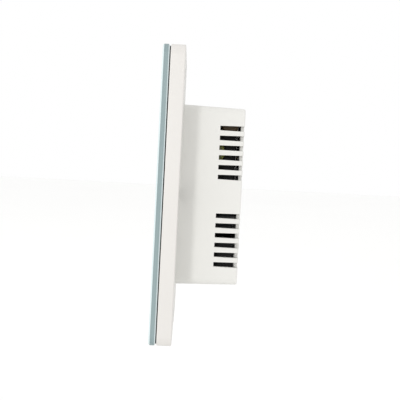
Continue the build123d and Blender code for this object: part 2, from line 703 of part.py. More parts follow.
def relay_armature():
    """Iron flap in front of the core; it tilts about its rounded edge and carries the moving contact."""
    face = ARMATURE_X - ARMATURE_THICK / 2
    x_span = about(ARMATURE_X, ARMATURE_THICK / 2)
    flap = block(x_span, (ARMATURE_PIVOT_Y, ARMATURE_TOP), about(COIL_Z, ARMATURE_HALF))
    edge = Pos(ARMATURE_X, ARMATURE_PIVOT_Y, COIL_Z) * Cylinder(ARMATURE_THICK / 2, 2 * ARMATURE_HALF)
    return flap + edge + along_x((face - MOVING_CONTACT, face), CONTACT_Y, COIL_Z, CONTACT_R)


def relay_contact():
    """Fixed contact on its own blade, just short of the moving one."""
    face = ARMATURE_X - ARMATURE_THICK / 2 - MOVING_CONTACT - CONTACT_GAP
    x_span = (face - FIXED_CONTACT - BLADE_THICK, face - FIXED_CONTACT)
    low, high = (COIL_Z + end for end in BLADE_SPAN)
    blade = block(x_span, (BLADE_WEB, BLADE_TOP), (low, high))
    blade += block(x_span, (BLADE_LOW, BLADE_TOP), about(COIL_Z, BLADE_TIP))
    blade += block(x_span, (BLADE_FOOT, BLADE_TOP), (high - BLADE_LEG, high))
    return blade + along_x((face - FIXED_CONTACT, face), CONTACT_Y, COIL_Z, CONTACT_R)


def transformer_core():
    """Black ferrite frame round the winding."""
    x, z = TRANSFORMER_X, TRANSFORMER_Z
    core = block(about(x, CORE_HALF), CORE_SPAN, about(z, CORE_HALF))
    return core - block(about(x, CORE_WINDOW), CORE_SPAN, about(z, CORE_WINDOW))


def transformer_winding():
    """Bobbin with its taped winding, standing on the board inside the core."""
    x, z = TRANSFORMER_X, TRANSFORMER_Z
    winding = block(about(x, WINDING_HALF), (POWER_REAR, WINDING_TOP), about(z, WINDING_HALF))
    winding = fillet(winding.edges().filter_by(Axis.Y), WINDING_ROUND)
    winding += block(about(x, CORE_HALF), (POWER_REAR, BOBBIN_BASE), about(z, CORE_HALF))
    return winding + block(about(x, BOBBIN_FLANGE_HALF), BOBBIN_FLANGE, about(z, CORE_HALF))


def standing_disc(x, y, z, radius, thick):
    """A dipped disc standing on its leads, its flat sides facing the side walls."""
    disc = along_x(about(x, thick / 2), y, z, radius)
    disc = fillet(disc.edges(), thick * DISC_ROUND)
    half = DISC_LEAD / 2
    for offset in (-DISC_LEAD_OFFSET, DISC_LEAD_OFFSET):
        disc += block(about(x, half), (POWER_REAR, y), about(z + offset, half))
    return disc


def varistor():
    """Surge arrester, in olive epoxy."""
    return standing_disc(*VARISTOR_PLACE, VARISTOR_R, VARISTOR_THICK)


def disc_capacitor():
    """Ceramic suppression capacitor, in brown epoxy."""
    return standing_disc(*DISC_PLACE, DISC_R, DISC_THICK)


def film_capacitor():
    """Box-shaped suppression capacitor."""
    return chamfer(block(FILM_X, (POWER_REAR, FILM_TOP), FILM_Z).edges(), FILM_CHAMFER)


def electrolytic_capacitors():
    """Two sleeved cans with a scored vent on top."""
    cans = []
    for x, z, radius, top in (LARGE_CAN, SMALL_CAN):
        can = rod(x, z, radius, (POWER_REAR, top))
        can = fillet(can.edges(), CAN_ROUND)
        for turn in (0, 90):
            score = Box(radius * CAN_SCORE_LENGTH, CAN_SCORE, CAN_SCORE)
            can -= Pos(x, top, z) * Rot(0, turn, 0) * score
        cans.append(can)
    return cans


def bridge_rectifier():
    """Small black block on four legs."""
    y_span = (POWER_REAR + BRIDGE_STANDOFF, POWER_REAR + BRIDGE_TOP)
    body = chamfer(rear_edges(block(BRIDGE_X, y_span, BRIDGE_Z)), BRIDGE_CHAMFER)
    leg_y = POWER_REAR + BRIDGE_LEG[1] / 2
    for x in (BRIDGE_X[0] + BRIDGE_LEG_INSET, BRIDGE_X[1] - BRIDGE_LEG_INSET):
        for z in (BRIDGE_Z[0] - BRIDGE_LEG[2] / 2, BRIDGE_Z[1] + BRIDGE_LEG[2] / 2):
            body += Pos(x, leg_y, z) * Box(*BRIDGE_LEG)
    return body


def fuse():
    """Radial fuse in a round moulded case."""
    body = rod(*FUSE_PLACE, FUSE_R, (POWER_REAR, POWER_REAR + FUSE_HEIGHT))
    return fillet(rear_edges(body), FUSE_ROUND)


# ---------------------------------------------------------------- write every node
SINGLE = (
    glass_panel,
    glass_adhesive,
    front_cover,
    lcd_glass,
    light_guide,
    control_board,
    microcontroller,
    buzzer,
    pin_header,
    air_sensor,
    rear_housing,
    power_board,
    board_socket,
    terminal_block,
    relay_case,
    relay_coil,
    relay_yoke,
    relay_armature,
    relay_contact,
    transformer_core,
    transformer_winding,
    varistor,
    disc_capacitor,
    film_capacitor,
    bridge_rectifier,
    fuse,
)
GROUPS = (
    backlight_leds,
    zebra_strips,
    touch_springs,
    control_board_screws,
    power_board_screws,
    terminal_bars,
    electrolytic_capacitors,
)

for make in SINGLE:
    save(make.__name__, make())
for make in GROUPS:
    save(make.__name__, *make())
for number, place in enumerate(TERMINAL_X, start=1):
    save(f"wire_cage_{number}", wire_cage(place))
    save(f"terminal_screw_{number}", terminal_screw(place))
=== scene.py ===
import math

import bpy
from mathutils import Matrix, Vector


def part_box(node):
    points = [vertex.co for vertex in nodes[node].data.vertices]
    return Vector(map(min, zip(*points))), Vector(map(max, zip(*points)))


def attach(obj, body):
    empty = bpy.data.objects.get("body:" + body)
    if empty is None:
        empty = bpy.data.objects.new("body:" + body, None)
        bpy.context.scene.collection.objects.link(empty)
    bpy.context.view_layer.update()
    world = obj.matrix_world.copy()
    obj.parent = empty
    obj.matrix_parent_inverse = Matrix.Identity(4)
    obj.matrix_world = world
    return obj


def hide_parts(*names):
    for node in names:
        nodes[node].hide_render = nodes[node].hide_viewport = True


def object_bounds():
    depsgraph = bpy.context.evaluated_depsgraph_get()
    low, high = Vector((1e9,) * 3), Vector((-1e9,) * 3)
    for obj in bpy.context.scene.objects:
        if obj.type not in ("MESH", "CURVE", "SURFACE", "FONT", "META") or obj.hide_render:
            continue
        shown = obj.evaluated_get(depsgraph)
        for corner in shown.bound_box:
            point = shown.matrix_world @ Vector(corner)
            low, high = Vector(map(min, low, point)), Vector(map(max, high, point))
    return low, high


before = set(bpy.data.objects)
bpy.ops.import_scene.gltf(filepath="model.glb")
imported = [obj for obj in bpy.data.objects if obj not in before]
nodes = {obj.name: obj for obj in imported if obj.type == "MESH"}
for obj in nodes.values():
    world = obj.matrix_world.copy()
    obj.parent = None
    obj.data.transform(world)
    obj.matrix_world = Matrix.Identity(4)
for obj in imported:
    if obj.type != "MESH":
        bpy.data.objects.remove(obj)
cad_low, cad_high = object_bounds()

MM = 0.001
FRONT = "front_half"
WALL = "wall_half"

# ---------------------------------------------------------------- places taken from the frame
glass_low, glass_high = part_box("glass_panel")
display_low, display_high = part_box("lcd_glass")
control_low, control_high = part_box("control_board")
power_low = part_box("power_board")[0]
springs_low, springs_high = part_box("touch_springs")
housing_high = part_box("rear_housing")[1]
terminal_count = sum(name.startswith("terminal_screw") for name in nodes)
key_radius = (springs_high.z - springs_low.z) / 2
key_height = (springs_high.z + springs_low.z) / 2
key_count = 4
key_pitch = (springs_high.x - springs_low.x - 2 * key_radius) / (key_count - 1)
key_places = [springs_low.x + key_radius + index * key_pitch for index in range(key_count)]
display_middle = (display_low + display_high) / 2


# ---------------------------------------------------------------- small tools
def linear(code):
    """An sRGB hex colour as linear RGBA."""
    parts = [int(code[start:start + 2], 16) / 255 for start in (0, 2, 4)]
    return [part / 12.92 if part <= 0.04045 else ((part + 0.055) / 1.055) ** 2.4 for part in parts] + [1.0]


def add(tree, kind, settings=None, links=None):
    """Adds a node. Settings are properties or input values, links join outputs to inputs."""
    item = tree.nodes.new(kind)
    for key, value in (settings or {}).items():
        if isinstance(key, int) or key in item.inputs.keys():
            item.inputs[key].default_value = value
        else:
            setattr(item, key, value)
    for key, source in (links or {}).items():
        tree.links.new(source, item.inputs[key])
    return item


def finish(name, dark, light, patch, roughness, grain, relief, stretch=(1.0, 1.0, 1.0), **sockets):
    """A surface with a mottled colour, uneven gloss and a fine relief.

    dark and light are the ends of the colour's drift, patch its size; roughness is a pair of limits;
    grain is the size of the relief and relief its depth. Sizes are in millimetres. stretch draws the
    drift out along an axis where it is below one.
    """
    made = bpy.data.materials.new(name)
    made.use_nodes = True
    tree = made.node_tree
    shader = tree.nodes["Principled BSDF"]
    place = add(tree, "ShaderNodeTexCoord").outputs["Object"]
    drawn = add(tree, "ShaderNodeVectorMath", {"operation": "MULTIPLY", 1: stretch}, {0: place}).outputs[0]
    drift = add(tree, "ShaderNodeTexNoise", {"Scale": 1 / (patch * MM), "Detail": 3.0}, {"Vector": drawn})
    colour = add(tree, "ShaderNodeMix", {"data_type": "RGBA", 6: linear(dark), 7: linear(light)},
                 {0: drift.outputs["Fac"]})
    tree.links.new(colour.outputs[2], shader.inputs["Base Color"])
    fine = add(tree, "ShaderNodeTexNoise", {"Scale": 1 / (grain * MM), "Detail": 2.0}, {"Vector": place})
    gloss = add(tree, "ShaderNodeMapRange", {"To Min": roughness[0], "To Max": roughness[1]},
                {"Value": drift.outputs["Fac"]})
    tree.links.new(gloss.outputs[0], shader.inputs["Roughness"])
    bump = add(tree, "ShaderNodeBump", {"Strength": 1.0, "Distance": relief * MM},
               {"Height": fine.outputs["Fac"]})
    tree.links.new(bump.outputs[0], shader.inputs["Normal"])
    for socket, value in sockets.items():
        shader.inputs[socket.replace("_", " ")].default_value = value
    return made


def paint(name, *materials):
    """Gives a node of the frame its materials."""
    for index, made in enumerate(materials):
        nodes[name].material_slots[index].material = made


def mesh_piece(name, points, faces, materials, indices=None, body=None, smooth=False):
    """A mesh object at the origin; indices gives each face's material."""
    mesh = bpy.data.meshes.new(name)
    mesh.from_pydata(points, [], faces)
    for made in materials:
        mesh.materials.append(made)
    if indices:
        mesh.polygons.foreach_set("material_index", indices)
    mesh.polygons.foreach_set("use_smooth", [smooth] * len(mesh.polygons))
    mesh.update()
    piece = bpy.data.objects.new(name, mesh)
    bpy.context.scene.collection.objects.link(piece)
    if body:
        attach(piece, body)
    return piece


def rounded_outline(width, height, radius, middle=(0.0, 0.0), steps=10):
    """Points in X and Z round a rectangle with arcs at its corners, anticlockwise seen from the front."""
    points = []
    for corner in range(4):
        sign_x = 1 if corner in (0, 3) else -1
        sign_z = 1 if corner in (0, 1) else -1
        centre = (middle[0] + sign_x * (width / 2 - radius), middle[1] + sign_z * (height / 2 - radius))
        for step in range(steps + 1):
            angle = math.pi / 2 * (corner + step / steps)
            points.append((centre[0] + radius * math.cos(angle), centre[1] + radius * math.sin(angle)))
    return points


def lofted(rings):
    """Points and faces of a closed solid through outlines with equal counts; a ring is (outline, y)."""
    points = [(x, y, z) for outline, y in rings for x, z in outline]
    count = len(rings[0][0])
    faces = [list(range(count))]
    for ring in range(len(rings) - 1):
        first, second = ring * count, (ring + 1) * count
        for step in range(count):
            after = (step + 1) % count
            faces.append([first + after, first + step, second + step, second + after])
    faces.append([(len(rings) - 1) * count + step for step in reversed(range(count))])
    return points, faces


def joined(parts):
    """Points and faces of several solids as one mesh."""
    points, faces = [], []
    for part_points, part_faces in parts:
        faces += [[index + len(points) for index in face] for face in part_faces]
        points += part_points
    return points, faces


def upright(outline, front, rear):
    """Points and faces of a plate with the given outline."""
    return lofted([(outline, front), (outline, rear)])


def rectangle(x, z, width, height):
    """Outline of a rectangle about its middle."""
    return [(x - width / 2, z - height / 2), (x + width / 2, z - height / 2),
            (x + width / 2, z + height / 2), (x - width / 2, z + height / 2)]


# ABS with a fine spark-eroded mould texture: warm white, satin, even. The real grain is about 0.1 mm,
# drawn at 0.3 mm so that it shows.
white_abs = finish("spark_textured_abs", "D9D8D4", "DDDCD8", 18, (0.42, 0.5), 0.3, 0.004)
# The same ABS from a polished part of the mould: smoother, and it catches a clearer highlight. Its colour is
# darker than the housing's: painted shade that offsets the extra light the frame gets from the front soft
# box.
shaded_gloss_abs = finish("polished_abs_painted_shade", "D1CECA", "D4D1CD", 22, (0.3, 0.36), 0.6, 0.001)
# Float glass ground on its edge with a fine wheel: the iron in it shows as a dull sea green, and the wheel
# leaves streaks about 0.3 mm wide that run round the sheet.
ground_glass = finish("ground_float_glass", "76888B", "90A1A2", 0.35, (0.45, 0.6), 0.25, 0.006,
                      stretch=(0.02, 1.0, 0.02), IOR=1.52)
# The seamed corners of the sheet, rubbed with a finer belt: paler, with a soft sheen. The pale colour is
# partly the seam's own frosting and partly a painted reflection of the white surroundings seen at a grazing
# angle.
seamed_glass_with_reflection = finish("seamed_float_glass_painted_reflection", "C9D6D8", "D6E1E2", 4, (0.2, 0.3), 0.3, 0.002, IOR=1.52)
# Polished float glass: clear, with a trace of green.
clear_glass = finish("polished_float_glass", "EAF4F1", "EEF6F4", 40, (0.0, 0.02), 5, 0.0005,
                     IOR=1.52, Transmission_Weight=1.0)
# The same sheet over black ceramic ink fused to its rear, drawn as one opaque surface: the ink's colour under
# the glass's gloss.
printed_glass = finish("black_printed_float_glass", "060707", "0A0B0C", 9, (0.0, 0.02), 5, 0.0005, IOR=1.52)
# That ink from behind: deep black, slightly uneven.
black_ink = finish("black_ceramic_ink", "060707", "0A0B0C", 9, (0.3, 0.4), 0.2, 0.001)
# The pale ink of the key symbols, also drawn with the glass's gloss.
pale_ink = finish("grey_ceramic_ink", "A4A8AA", "AEB2B3", 5, (0.0, 0.02), 5, 0.0005, IOR=1.52)
# Black acrylic foam tape: matt, with open cells on its cut edge.
foam_tape = finish("acrylic_foam_tape", "0E0E0E", "1B1B1B", 0.8, (0.85, 0.95), 0.2, 0.03)
# Liquid-crystal cell with its dark rear polariser: smooth and near black, faintly blue.
display_cell = finish("polarised_display_cell", "0B0F14", "10151B", 12, (0.08, 0.14), 1, 0.0005)
# Lit segments of the display.
lit_segment = finish("lit_display_segment", "DCE9F0", "EAF2F6", 3, (0.3, 0.35), 0.5, 0.0005,
                     Emission_Color=linear("D9ECF7"), Emission_Strength=0.9)
# Cast acrylic: clear and polished.
clear_acrylic = finish("cast_acrylic", "F2F5F6", "F8FAFA", 10, (0.04, 0.08), 2, 0.0005,
                       IOR=1.49, Transmission_Weight=0.8)
# Silicone-potted lamp: pale yellow phosphor.
phosphor = finish("phosphor_lamp", "E3D27A", "EFE3A0", 1, (0.35, 0.45), 0.2, 0.002)
# Zinc-plated, clear-passivated steel: grey with a faint blue cast and fine scratches.
zinc_steel = finish("zinc_plated_steel", "A9ADB2", "C2C6C9", 1.2, (0.28, 0.42), 0.12, 0.003, Metallic=1.0)
# Nickel plate on pressed steel: warmer and brighter than zinc.
nickel_steel = finish("nickel_plated_steel", "B8B2A6", "CFC9BD", 1.5, (0.2, 0.32), 0.15, 0.002, Metallic=1.0)
# Hot-tinned copper: soft grey, a little uneven.
tinned_copper = finish("tinned_copper", "B4B1AA", "CBC8C2", 0.9, (0.3, 0.45), 0.2, 0.004, Metallic=1.0)
# Gold-flashed phosphor bronze pins.
gold_flash = finish("gold_flashed_bronze", "C9A24B", "D9B868", 1, (0.22, 0.3), 0.2, 0.001, Metallic=1.0)
# Enamelled copper wire.
enamelled_copper = finish("enamelled_copper", "8A3E16", "A9562A", 0.6, (0.25, 0.35), 0.2, 0.01, Metallic=1.0)
# Plated soft iron.
soft_iron = finish("plated_soft_iron", "8F9090", "A5A6A6", 1.5, (0.35, 0.5), 0.2, 0.003, Metallic=1.0)
# Glass-filled nylon, black: matt, because the fibres roughen its skin. Its near-black is the nylon's own
# colour, deepened further as painted shade for the dim inside of the housing seen through the vents.
shaded_black_nylon = finish("glass_filled_nylon_painted_shade", "070708", "0D0D0E", 3, (0.75, 0.88), 0.25, 0.004)
# Epoxy moulding compound of chip packages: charcoal, matt.
chip_epoxy = finish("epoxy_moulding_compound", "141415", "1C1C1D", 1.5, (0.55, 0.7), 0.15, 0.004)
# Sintered ferrite: dark grey, slightly porous.
ferrite = finish("sintered_ferrite", "17181A", "232427", 1, (0.5, 0.65), 0.2, 0.01)
# Polyester winding tape: clear yellow film in overlapping turns.
winding_tape = finish("polyester_tape", "B78A17", "D2A72A", 2.2, (0.2, 0.32), 1.6, 0.02, IOR=1.6)
# Dipped epoxy of the varistor: olive yellow with a soft, wavy surface.
olive_epoxy = finish("dipped_olive_epoxy", "5C5F1E", "7E8030", 1.2, (0.3, 0.45), 0.9, 0.05)
# Dipped epoxy of the ceramic disc: dark brown.
brown_epoxy = finish("dipped_brown_epoxy", "2A1C03", "4A3408", 1.4, (0.6, 0.7), 0.9, 0.05)
# Flame-retardant polyester case of the film capacitor.
grey_case = finish("moulded_grey_case", "6B6D6F", "797B7D", 4, (0.4, 0.5), 0.3, 0.003)
# Shrunk PET sleeve of the electrolytic cans.
pet_sleeve = finish("shrunk_pet_sleeve", "0B0C0F", "121419", 3, (0.18, 0.3), 1.5, 0.01)
# Conductive rubber of the contact strips.
strip_rubber = finish("layered_contact_rubber", "2A2B2D", "5B5D60", 0.25, (0.7, 0.8), 0.2, 0.01)
# Stainless spring wire: drawn, bright.
spring_wire = finish("drawn_spring_wire", "B9B6AE", "D2CFC8", 0.6, (0.2, 0.3), 0.1, 0.002, Metallic=1.0)
# Chip resistors and capacitors: ceramic under a dark, slightly uneven overcoat.
alumina = finish("alumina_chip", "20221F", "3A3B38", 0.9, (0.4, 0.5), 0.2, 0.002)


def circuit_laminate():
    """Glass-epoxy board under green solder resist: etched tracks show as paler raised lines at 45 degrees."""
    made = finish("solder_resist_laminate", "0D3B22", "114629", 7, (0.22, 0.3), 0.5, 0.001)
    tree = made.node_tree
    shader = tree.nodes["Principled BSDF"]
    tile = 2.4 * MM
    width = 0.11
    track_relief = 0.03 * MM
    turned_share = 0.5
    place = add(tree, "ShaderNodeTexCoord").outputs["Object"]
    flat = add(tree, "ShaderNodeVectorMath", {"operation": "MULTIPLY", 1: (1 / tile, 0, 1 / tile)},
               {0: place})
    cell = add(tree, "ShaderNodeVectorMath", {"operation": "FLOOR"}, {0: flat.outputs[0]})
    local = add(tree, "ShaderNodeVectorMath", {"operation": "FRACTION"}, {0: flat.outputs[0]})
    apart = add(tree, "ShaderNodeSeparateXYZ", {}, {0: local.outputs[0]})
    dice = add(tree, "ShaderNodeTexWhiteNoise", {"noise_dimensions": "3D"}, {"Vector": cell.outputs[0]})
    heads = add(tree, "ShaderNodeMath", {"operation": "GREATER_THAN", 1: turned_share},
                {0: dice.outputs["Value"]})
    turned = add(tree, "ShaderNodeMath", {"operation": "SUBTRACT", 0: 1.0}, {1: apart.outputs["X"]})
    across = add(tree, "ShaderNodeMix", {"data_type": "FLOAT"},
                 {0: heads.outputs[0], 2: apart.outputs["X"], 3: turned.outputs[0]})
    total = add(tree, "ShaderNodeMath", {"operation": "ADD"}, {0: across.outputs[0], 1: apart.outputs["Z"]})
    middle = add(tree, "ShaderNodeMath", {"operation": "SUBTRACT", 1: 1.0}, {0: total.outputs[0]})
    fold = add(tree, "ShaderNodeMath", {"operation": "ABSOLUTE"}, {0: middle.outputs[0]})
    centre = add(tree, "ShaderNodeMath", {"operation": "SUBTRACT", 1: 0.5}, {0: fold.outputs[0]})
    distance = add(tree, "ShaderNodeMath", {"operation": "ABSOLUTE"}, {0: centre.outputs[0]})
    track = add(tree, "ShaderNodeMath", {"operation": "LESS_THAN", 1: width}, {0: distance.outputs[0]})
    under = shader.inputs["Base Color"].links[0].from_socket
    colour = add(tree, "ShaderNodeMix", {"data_type": "RGBA", 7: linear("1C5432")},
                 {0: track.outputs[0], 6: under})
    tree.links.new(colour.outputs[2], shader.inputs["Base Color"])
    bump = add(tree, "ShaderNodeBump", {"Strength": 1.0, "Distance": track_relief},
               {"Height": track.outputs[0]})
    tree.links.new(bump.outputs[0], shader.inputs["Normal"])
    return made


laminate = circuit_laminate()

NODE_FINISHES = {
    "glass_adhesive": foam_tape,
    # The front cover's polished ABS is darkened with painted shade.
    "front_cover": shaded_gloss_abs,
    "lcd_glass": display_cell,
    "light_guide": clear_acrylic,
    "backlight_leds": phosphor,
    "zebra_strips": strip_rubber,
    "control_board": laminate,
    "microcontroller": chip_epoxy,
    # The black nylon parts carry painted shade in their deepened black.
    "buzzer": shaded_black_nylon,
    "pin_header": gold_flash,
    "control_board_screws": zinc_steel,
    "air_sensor": chip_epoxy,
    "rear_housing": white_abs,
    "power_board": laminate,
    "board_socket": shaded_black_nylon,
    "power_board_screws": zinc_steel,
    "terminal_block": shaded_black_nylon,
    "terminal_bars": tinned_copper,
    "relay_case": shaded_black_nylon,
    "relay_coil": enamelled_copper,
    "relay_yoke": soft_iron,
    "relay_armature": soft_iron,
    "relay_contact": tinned_copper,
    "transformer_core": ferrite,
    "transformer_winding": winding_tape,
    "varistor": olive_epoxy,
    "disc_capacitor": brown_epoxy,
    "film_capacitor": grey_case,
    "electrolytic_capacitors": pet_sleeve,
    "bridge_rectifier": chip_epoxy,
    "fuse": chip_epoxy,
}
for node_name, made in NODE_FINISHES.items():
    paint(node_name, made)
for number in range(1, terminal_count + 1):
    paint(f"terminal_screw_{number}", zinc_steel)
    paint(f"wire_cage_{number}", nickel_steel)


# ---------------------------------------------------------------- glass sheet and its print
def glass_sheet():
    """The glass: faces printed black outside the display, a ground edge, and seamed corners between them."""
    side = glass_high.x - glass_low.x
    corner = 3.0 * MM
    front_seam, rear_seam = 0.4 * MM, 0.3 * MM
    bend_inset, bend_depth = 0.12 * MM, 0.14 * MM
    window_width, window_height, window_corner = 40 * MM, 25.5 * MM, 1 * MM
    window = rounded_outline(window_width, window_height, window_corner, (0, display_middle.z))
    profile = (
        (front_seam, glass_low.y),
        (bend_inset, glass_low.y + bend_depth),
        (0.0, glass_low.y + front_seam),
        (0.0, glass_high.y - rear_seam),
        (rear_seam, glass_high.y),
    )
    rings = [(window, glass_low.y)]
    for inset, y in profile:
        rings.append((rounded_outline(side - 2 * inset, side - 2 * inset, corner - inset), y))
    rings.append((window, glass_high.y))
    points, faces = lofted(rings)
    # The seamed bands' pale colour is partly painted reflection.
    materials = (clear_glass, printed_glass, seamed_glass_with_reflection, ground_glass, black_ink)
    bands = (printed_glass, seamed_glass_with_reflection, seamed_glass_with_reflection, ground_glass, seamed_glass_with_reflection, black_ink)
    indices = [0] + [materials.index(band) for band in bands for _ in window] + [0]
    piece = mesh_piece("glass_sheet", points, faces, materials, indices, FRONT)
    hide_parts("glass_panel")


glass_sheet()


def flat_shape(name, outlines, front, rear, made, body):
    """Thin solid plates from closed outlines in X and Z, joined in one piece."""
    points, faces = joined([upright(outline, front, rear) for outline in outlines])
    piece = mesh_piece(name, points, faces, (made,), body=body)
    return piece


def stroke(start, end, width):
    """Outline of a straight line with square ends."""
    along = Vector(end) - Vector(start)
    side = Vector((-along.y, along.x)).normalized() * width / 2
    corners = (Vector(start) - side, Vector(end) - side, Vector(end) + side, Vector(start) + side)
    return [tuple(corner) for corner in corners]


def arc_strokes(middle, radius, width, first, last, steps=28):
    """Outlines of short wedges that follow an arc; angles in degrees."""
    outlines = []
    for step in range(steps):
        low = math.radians(first + (last - first) * step / steps)
        high = math.radians(first + (last - first) * (step + 1) / steps)
        inner, outer = radius - width / 2, radius + width / 2
        outlines.append([
            (middle[0] + inner * math.cos(low), middle[1] + inner * math.sin(low)),
            (middle[0] + outer * math.cos(low), middle[1] + outer * math.sin(low)),
            (middle[0] + outer * math.cos(high), middle[1] + outer * math.sin(high)),
            (middle[0] + inner * math.cos(high), middle[1] + inner * math.sin(high)),
        ])
    return outlines


def key_symbols():
    """Plain symbols over the touch keys: on and off, down, up, and a clock."""
    line = 0.35 * MM
    size = 1.7 * MM
    layer = 0.01 * MM
    # Angles of the open ring's ends in degrees, and heights and lengths as shares of the ring's radius.
    ring_start, ring_end = 125, 415
    bar_low, bar_high = 0.3, 1.25
    tip_rise, foot_drop = 0.6, 0.5
    long_hand, short_hand = 0.7, 0.55
    power_x, down_x, up_x, clock_x = key_places
    z = key_height
    outlines = arc_strokes((power_x, z), size, line, ring_start, ring_end)
    outlines.append(stroke((power_x, z + size * bar_low), (power_x, z + size * bar_high), line))
    for x, turn in ((down_x, -1), (up_x, 1)):
        tip = (x, z + turn * size * tip_rise)
        for side in (-1, 1):
            outlines.append(stroke((x + side * size, z - turn * size * foot_drop), tip, line))
    outlines += arc_strokes((clock_x, z), size, line, 0, 360)
    outlines.append(stroke((clock_x, z - line / 2), (clock_x, z + size * long_hand), line))
    outlines.append(stroke((clock_x - line / 2, z), (clock_x + size * short_hand, z), line))
    flat_shape("key_symbols", outlines, glass_low.y - layer, glass_low.y + layer, pale_ink, FRONT)


key_symbols()

# Which of a figure's seven bars are lit.
SEGMENTS = {
    "0": "abcdef", "1": "bc", "2": "abged", "3": "abgcd", "4": "fgbc",
    "5": "afgcd", "6": "afgedc", "7": "abc", "8": "abcdefg", "9": "abcdfg",
}


def digit_outlines(text, left, bottom, height):
    """Seven-segment figures and their width; a dot is a small square and a colon two of them."""
    width, thick, lean, gap = height * 0.5, height * 0.11, 0.1, height * 0.04
    colon_levels = (height * 0.25, height * 0.6)
    dot_room, figure_room = thick * 2.2, thick * 2
    outlines = []
    cursor = left
    for letter in text:
        if letter in ".:":
            for level in ((0.0,) if letter == "." else colon_levels):
                x = cursor + lean * level
                outlines.append([(x, bottom + level), (x + thick, bottom + level),
                                 (x + thick, bottom + level + thick), (x, bottom + level + thick)])
            cursor += dot_room
            continue
        ends = {
            "a": ((0, 1), (1, 1)),
            "b": ((1, 1), (1, 0.5)),
            "c": ((1, 0.5), (1, 0)),
            "d": ((0, 0), (1, 0)),
            "e": ((0, 0.5), (0, 0)),
            "f": ((0, 1), (0, 0.5)),
            "g": ((0, 0.5), (1, 0.5)),
        }
        for segment in SEGMENTS[letter]:
            (x0, z0), (x1, z1) = ends[segment]
            start = Vector((x0 * width, z0 * height))
            end = Vector((x1 * width, z1 * height))
            along = (end - start).normalized()
            side = Vector((-along.y, along.x)) * thick / 2
            start, end = start + along * gap, end - along * gap
            shape = (start, start + along * thick / 2 - side, end - along * thick / 2 - side,
                     end, end - along * thick / 2 + side, start + along * thick / 2 + side)
            outlines.append([(cursor + point.x + lean * point.y, bottom + point.y) for point in shape])
        cursor += width + figure_room
    return outlines, cursor - left


def display_figures():
    """A room temperature, a set temperature, a time and a heating mark, as plain lit segments."""
    x, z = display_middle.x, display_middle.z
    large, small = 11.5 * MM, 4.0 * MM
    large_drop, small_drop = 3.6 * MM, 10.6 * MM
    time_shift, target_shift = -17 * MM, 8 * MM
    ring_shift, ring_rise, ring_steps = 1.6 * MM, 6.6 * MM, 20
    ring_radius, ring_line = 1.0 * MM, 0.4 * MM
    mark_count, mark_pitch, mark_shift = 3, 1.5 * MM, -17 * MM
    mark_low, mark_high, mark_line = 4.2 * MM, 7.6 * MM, 0.45 * MM
    front_gap, rear_gap = 0.03 * MM, 0.01 * MM
    figures, width = digit_outlines("21.5", 0, 0, large)
    left = x - width / 2
    outlines = [[(px + left, pz + z - large_drop) for px, pz in outline] for outline in figures]
    ring_middle = (left + width + ring_shift, z + ring_rise)
    outlines += arc_strokes(ring_middle, ring_radius, ring_line, 0, 360, ring_steps)
    outlines += digit_outlines("08:30", x + time_shift, z - small_drop, small)[0]
    outlines += digit_outlines("22.0", x + target_shift, z - small_drop, small)[0]
    for step in range(mark_count):
        mark = x + mark_shift + step * mark_pitch
        outlines.append(stroke((mark, z + mark_low), (mark, z + mark_high), mark_line))
    flat_shape("display_figures", outlines, display_low.y - front_gap, display_low.y - rear_gap, lit_segment,
               FRONT)


display_figures()


# ---------------------------------------------------------------- pieces that repeat, by geometry nodes
def geometry_tree(name, inputs):
    """A new tree with one named input for each size, and its group nodes."""
    tree = bpy.data.node_groups.new(name, "GeometryNodeTree")
    for label, kind in inputs:
        tree.interface.new_socket(name=label, in_out="INPUT", socket_type=kind)
    tree.interface.new_socket(name="Geometry", in_out="OUTPUT", socket_type="NodeSocketGeometry")
    source = add(tree, "NodeGroupInput")
    target = add(tree, "NodeGroupOutput")
    return tree, source.outputs, target


def grown(name, tree, values, body, base=None):
    """Runs a tree on an empty or given mesh and keeps the result as one plain mesh."""
    mesh = base or bpy.data.meshes.new(name)
    holder = bpy.data.objects.new(name + "_holder", mesh)
    bpy.context.scene.collection.objects.link(holder)
    modifier = holder.modifiers.new("grow", "NODES")
    modifier.node_group = tree
    for item in tree.interface.items_tree:
        if item.in_out == "INPUT" and item.name in values:
            modifier[item.identifier] = values[item.name]
    bpy.context.view_layer.update()
    evaluated = holder.evaluated_get(bpy.context.evaluated_depsgraph_get())
    made = bpy.data.meshes.new_from_object(evaluated)
    made.name = name
    holder.modifiers.remove(modifier)
    bpy.data.objects.remove(holder)
    piece = bpy.data.objects.new(name, made)
    bpy.context.scene.collection.objects.link(piece)
    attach(piece, body)
    return piece


